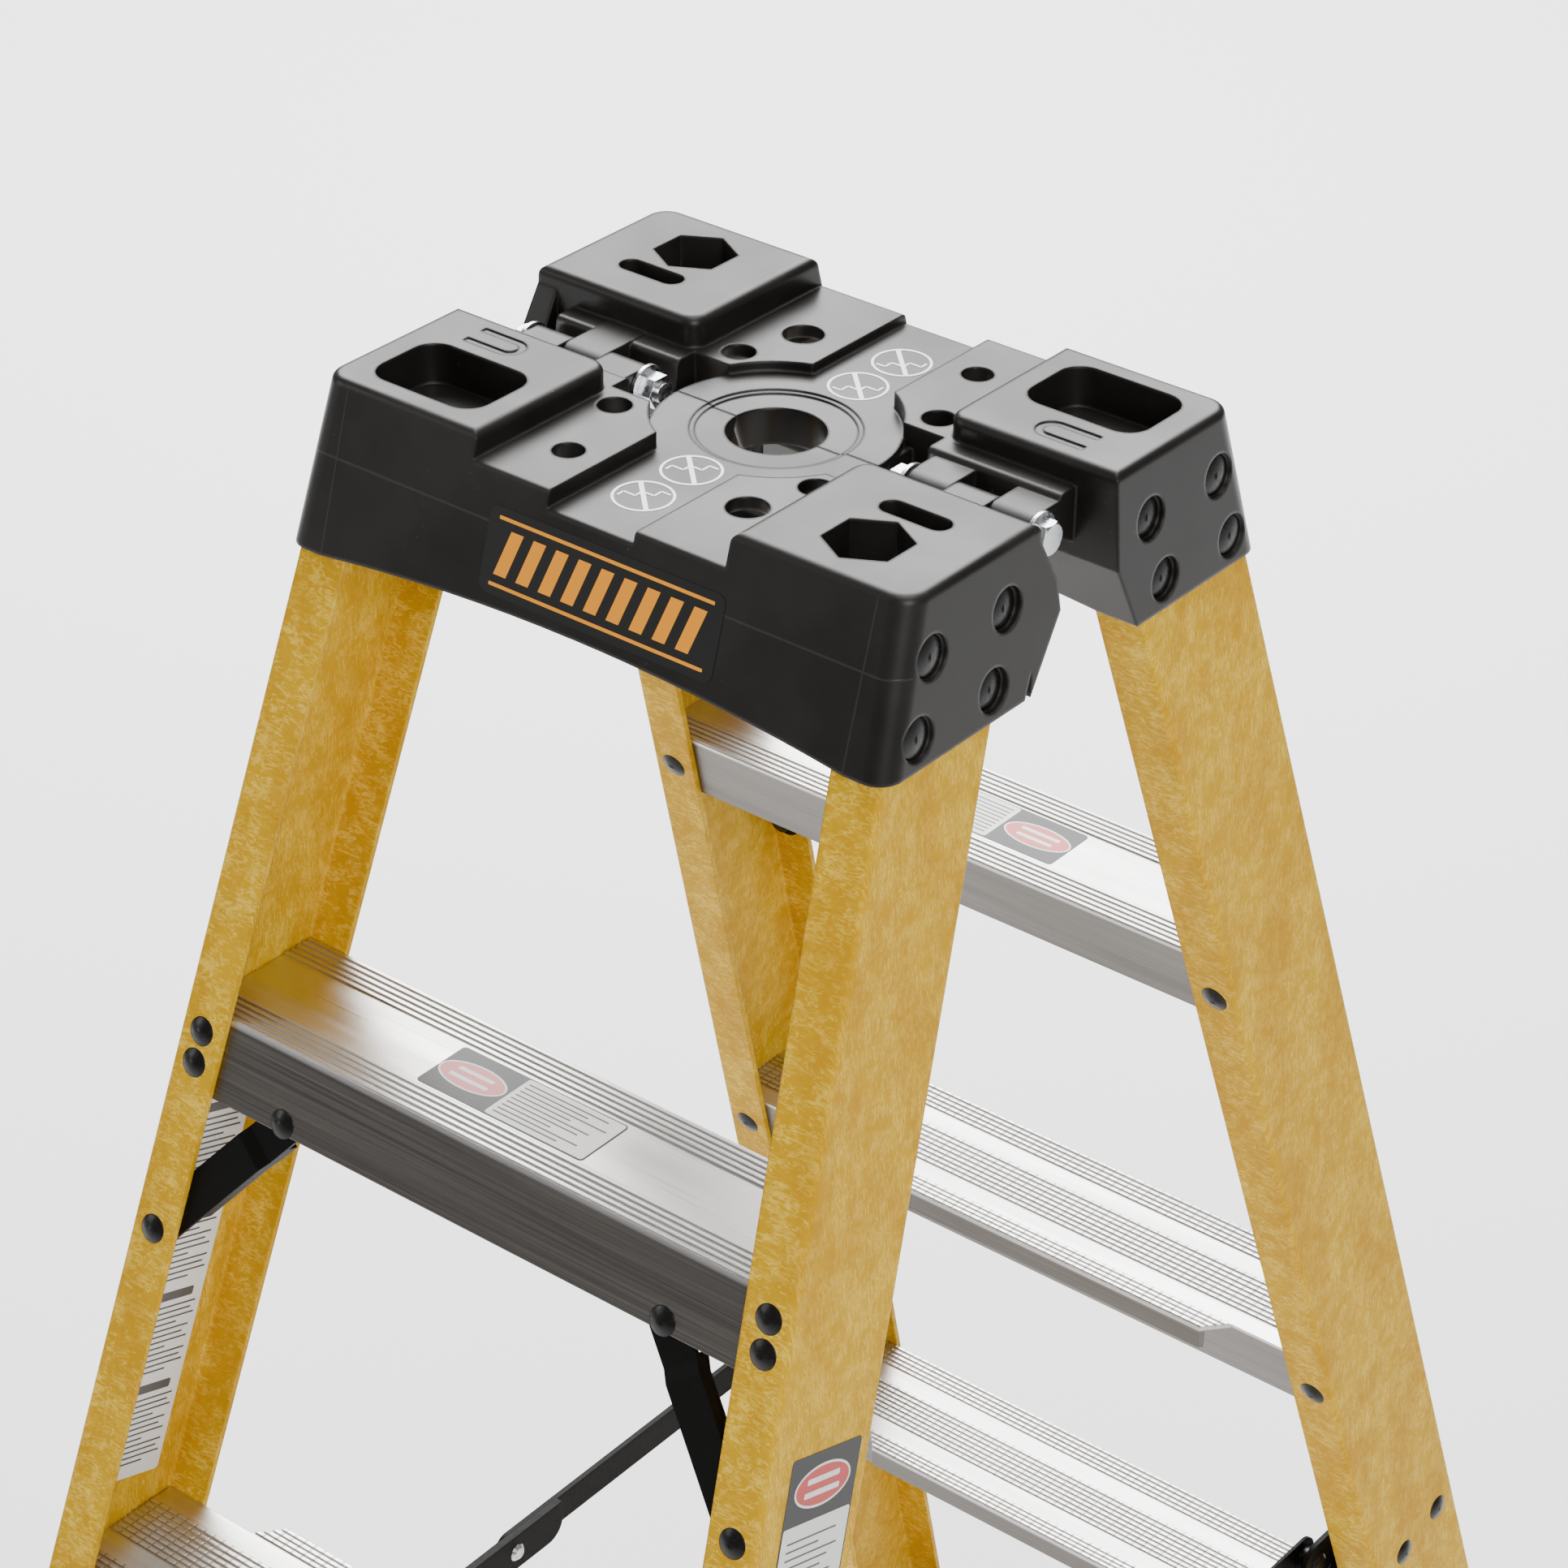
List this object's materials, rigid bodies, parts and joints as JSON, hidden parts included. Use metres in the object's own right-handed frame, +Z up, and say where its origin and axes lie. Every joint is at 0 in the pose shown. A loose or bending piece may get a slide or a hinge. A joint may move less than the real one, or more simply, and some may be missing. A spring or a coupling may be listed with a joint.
{
  "type": "twin-front step ladder",
  "caption": "Folding double-sided step ladder with yellow fibreglass rails, aluminium steps and a black tool-tray cap in hinged halves.",
  "frame": {"origin": "centre of the footprint on the floor, ladder open", "axes": "+Z up, X along the steps, the front section stands on the -Y side"},
  "size_m": [0.595, 1.3696, 1.7457],
  "materials": {
    "cap_moulding": "satin moulded black plastic with a fine grain",
    "fibreglass": "pultruded yellow fibreglass with a mottled fibre pattern",
    "rivet": "black coated steel",
    "step_extrusion": "mill-finish extruded aluminium",
    "black_steel": "black painted steel",
    "shoe_plastic": "moulded black plastic",
    "rubber": "black rubber",
    "zinc_hardware": "zinc-plated steel",
    "magnet": "sintered magnet"
  },
  "bodies": {
    "front_section": {"front_brace_lower_left": "black_steel", "front_brace_lower_right": "black_steel", "front_brace_rivets": "rivet", "front_brace_upper_left": "black_steel", "front_brace_upper_right": "black_steel", "front_bracket_left": "black_steel", "front_bracket_right": "black_steel", "front_bracket_rivets": "rivet", "front_cap_half": "cap_moulding", "front_cap_rivets": "rivet", "front_foot_pads": "rubber", "front_rail_left": "fibreglass", "front_rail_right": "fibreglass", "front_shoe_left": "shoe_plastic", "front_shoe_right": "shoe_plastic", "front_step_1": "step_extrusion", "front_step_2": "step_extrusion", "front_step_3": "step_extrusion", "front_step_4": "step_extrusion", "front_step_5": "step_extrusion", "front_step_rivets": "rivet", "front_tray_magnet": "magnet", "hinge_bolts": "zinc_hardware", "hinge_nuts": "zinc_hardware", "hinge_washers": "zinc_hardware", "pivots_front": "rivet"},
    "rear_section": {"pivots_rear": "rivet", "rear_brace_lower_left": "black_steel", "rear_brace_lower_right": "black_steel", "rear_brace_rivets": "rivet", "rear_brace_upper_left": "black_steel", "rear_brace_upper_right": "black_steel", "rear_bracket_left": "black_steel", "rear_bracket_right": "black_steel", "rear_bracket_rivets": "rivet", "rear_cap_half": "cap_moulding", "rear_cap_rivets": "rivet", "rear_foot_pads": "rubber", "rear_rail_left": "fibreglass", "rear_rail_right": "fibreglass", "rear_shoe_left": "shoe_plastic", "rear_shoe_right": "shoe_plastic", "rear_step_1": "step_extrusion", "rear_step_2": "step_extrusion", "rear_step_3": "step_extrusion", "rear_step_4": "step_extrusion", "rear_step_5": "step_extrusion", "rear_step_rivets": "rivet", "rear_tray_magnet": "magnet"},
    "link_front_left": {"spreader_front_left": "black_steel", "knuckle_front_left": "zinc_hardware"},
    "link_front_right": {"spreader_front_right": "black_steel", "knuckle_front_right": "zinc_hardware"},
    "link_rear_left": {"spreader_rear_left": "black_steel", "knuckle_rear_left": "zinc_hardware"},
    "link_rear_right": {"spreader_rear_right": "black_steel", "knuckle_rear_right": "zinc_hardware"}
  },
  "joints": [
    {"name": "fold", "type": "hinge", "parent": "front_section", "child": "rear_section", "pos_m": [0, 0, 1.72172], "axis": [-1, 0, 0], "range_deg": [0, 36]},
    {"name": "spreader_front_right_pivot", "type": "hinge", "parent": "front_section", "child": "link_front_right", "pos_m": [0.1742, -0.27258, 0.97943], "axis": [1, 0, 0], "range_deg": [0, 65.71]},
    {"name": "spreader_front_left_pivot", "type": "hinge", "parent": "front_section", "child": "link_front_left", "pos_m": [-0.168, -0.27258, 0.97943], "axis": [1, 0, 0], "range_deg": [0, 65.71]},
    {"name": "spreader_rear_left_pivot", "type": "hinge", "parent": "rear_section", "child": "link_rear_left", "pos_m": [-0.1742, 0.27258, 0.97943], "axis": [-1, 0, 0], "range_deg": [0, 65.71]},
    {"name": "spreader_rear_right_pivot", "type": "hinge", "parent": "rear_section", "child": "link_rear_right", "pos_m": [0.168, 0.27258, 0.97943], "axis": [-1, 0, 0], "range_deg": [0, 65.71]}
  ],
  "couplings": [
    {"joint": "spreader_front_right_pivot", "follows": "fold", "ratio": 1.8253},
    {"joint": "spreader_front_left_pivot", "follows": "fold", "ratio": 1.8253},
    {"joint": "spreader_rear_left_pivot", "follows": "fold", "ratio": 1.8253},
    {"joint": "spreader_rear_right_pivot", "follows": "fold", "ratio": 1.8253}
  ]
}
